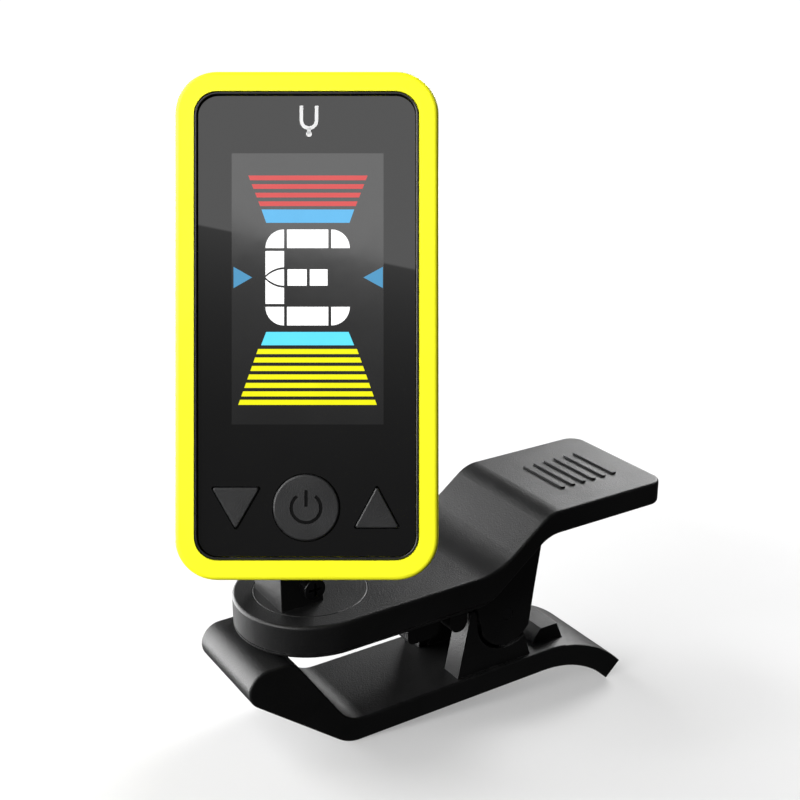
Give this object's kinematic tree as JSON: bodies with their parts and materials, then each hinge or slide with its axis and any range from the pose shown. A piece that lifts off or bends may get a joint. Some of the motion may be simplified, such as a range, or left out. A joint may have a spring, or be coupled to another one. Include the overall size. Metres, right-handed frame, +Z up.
{
  "type": "clip on tuner",
  "caption": "Clip-on tuner: a sprung two-jaw clip carries a slim yellow-framed screen with three keys on a turntable and ball joint.",
  "frame": {"origin": "on the table under the middle of the whole object's box, with the clip standing on its keel and the tip of its tail", "axes": "+Z up off the table; +X along the clip from the biting nose to the thumb pad; Y across the clip, the screen facing -Y and a little -X"},
  "size_m": [0.0736, 0.0388, 0.0867],
  "materials": {
    "black_nylon": "fine spark-eroded grain, low sheen",
    "grip_rubber": "soft matt rubber",
    "steel": "plain turned steel",
    "black_steel": "blackened steel",
    "liner_plastic": "natural nylon",
    "joint_plastic": "smooth black acetal",
    "yellow_plastic": "smooth saturated yellow, satin gloss",
    "lens": "polished smoked acrylic",
    "lcd": "display glass",
    "light_guide": "clear light guide",
    "flex_film": "amber polyimide film",
    "chip_black": "moulded epoxy",
    "key_plastic": "satin moulded keys",
    "switch_metal": "stamped tinplate",
    "circuit_board": "green solder mask",
    "contact_metal": "nickel-plated spring strip",
    "cell_steel": null,
    "pickup_brass": "thin brass disc",
    "black_shell": "fine grained housing"
  },
  "bodies": {
    "lower_jaw": {"lower_jaw": "black_nylon"},
    "upper_jaw": {"upper_arm": "black_nylon", "grip_pad": "grip_rubber", "pivot_pin": "black_steel", "torsion_spring": "steel"},
    "turntable": {"turntable_post": "black_nylon", "turntable_washer": "steel", "turntable_screw": "steel", "clamp_screw": "black_steel", "clamp_nut": "black_steel"},
    "liner": {"socket_liner": "liner_plastic"},
    "stem": {"ball_stem": "joint_plastic"},
    "head": {"stem_collar": "joint_plastic", "bezel_frame": "yellow_plastic", "window_rim": "joint_plastic", "lens_window": "lens", "lcd_panel": "lcd", "backlight": "light_guide", "lcd_flex": "flex_film", "backlight_leds": "chip_black", "main_board": "circuit_board", "controller_chip": "chip_black", "crystal_can": "switch_metal", "negative_contact": "contact_metal", "positive_contact": "contact_metal", "coin_cell": "cell_steel", "pickup_disc": "pickup_brass", "tact_switches": "switch_metal", "rear_cover": "black_shell", "case_screws": "black_steel"},
    "battery_door": {"battery_door": "black_shell"},
    "down_key": {"down_key": "key_plastic"},
    "power_key": {"power_key": "key_plastic"},
    "up_key": {"up_key": "key_plastic"}
  },
  "joints": [
    {"name": "jaw_hinge", "type": "hinge", "parent": "lower_jaw", "child": "upper_jaw", "pos_m": [0.01323, 0.00115, 0.01419], "axis": [0, 1, 0], "range_deg": [0, 28], "stiffness_Nm_per_rad": 0.25, "springref_deg": -45.84, "deforming": ["torsion_spring"]},
    {"name": "turntable_swivel", "type": "hinge", "parent": "upper_jaw", "child": "turntable", "pos_m": [-0.01557, 0.00115, 0.02002], "axis": [-0.1232, 0, 0.9924], "continuous": true},
    {"name": "ball_lean", "type": "hinge", "parent": "turntable", "child": "liner", "pos_m": [-0.01583, 0.00115, 0.0301], "axis": [0.5317, 0.8443, 0.066], "range_deg": [-10, 10]},
    {"name": "ball_nod", "type": "hinge", "parent": "liner", "child": "stem", "pos_m": [-0.01583, 0.00115, 0.0301], "axis": [0.8379, -0.5358, 0.104], "range_deg": [-30, 3]},
    {"name": "head_turn", "type": "hinge", "parent": "stem", "child": "head", "pos_m": [-0.01583, 0.00115, 0.0301], "axis": [-0.1232, 0, 0.9924], "range_deg": [-20, 60]},
    {"name": "down_key_press", "type": "slide", "parent": "head", "child": "down_key", "axis": [0.5413, 0.7913, -0.2842], "range_m": [0, 0.0004], "stiffness_N_per_m": 1500, "springref_m": -0.0006},
    {"name": "power_key_press", "type": "slide", "parent": "head", "child": "power_key", "axis": [0.5413, 0.7913, -0.2842], "range_m": [0, 0.0004], "stiffness_N_per_m": 1500, "springref_m": -0.0006},
    {"name": "up_key_press", "type": "slide", "parent": "head", "child": "up_key", "axis": [0.5413, 0.7913, -0.2842], "range_m": [0, 0.0004], "stiffness_N_per_m": 1500, "springref_m": -0.0006},
    {"name": "battery_door_off", "type": "slide", "parent": "head", "child": "battery_door", "axis": [0.5413, 0.7913, -0.2842], "range_m": [0, 0.008]}
  ]
}
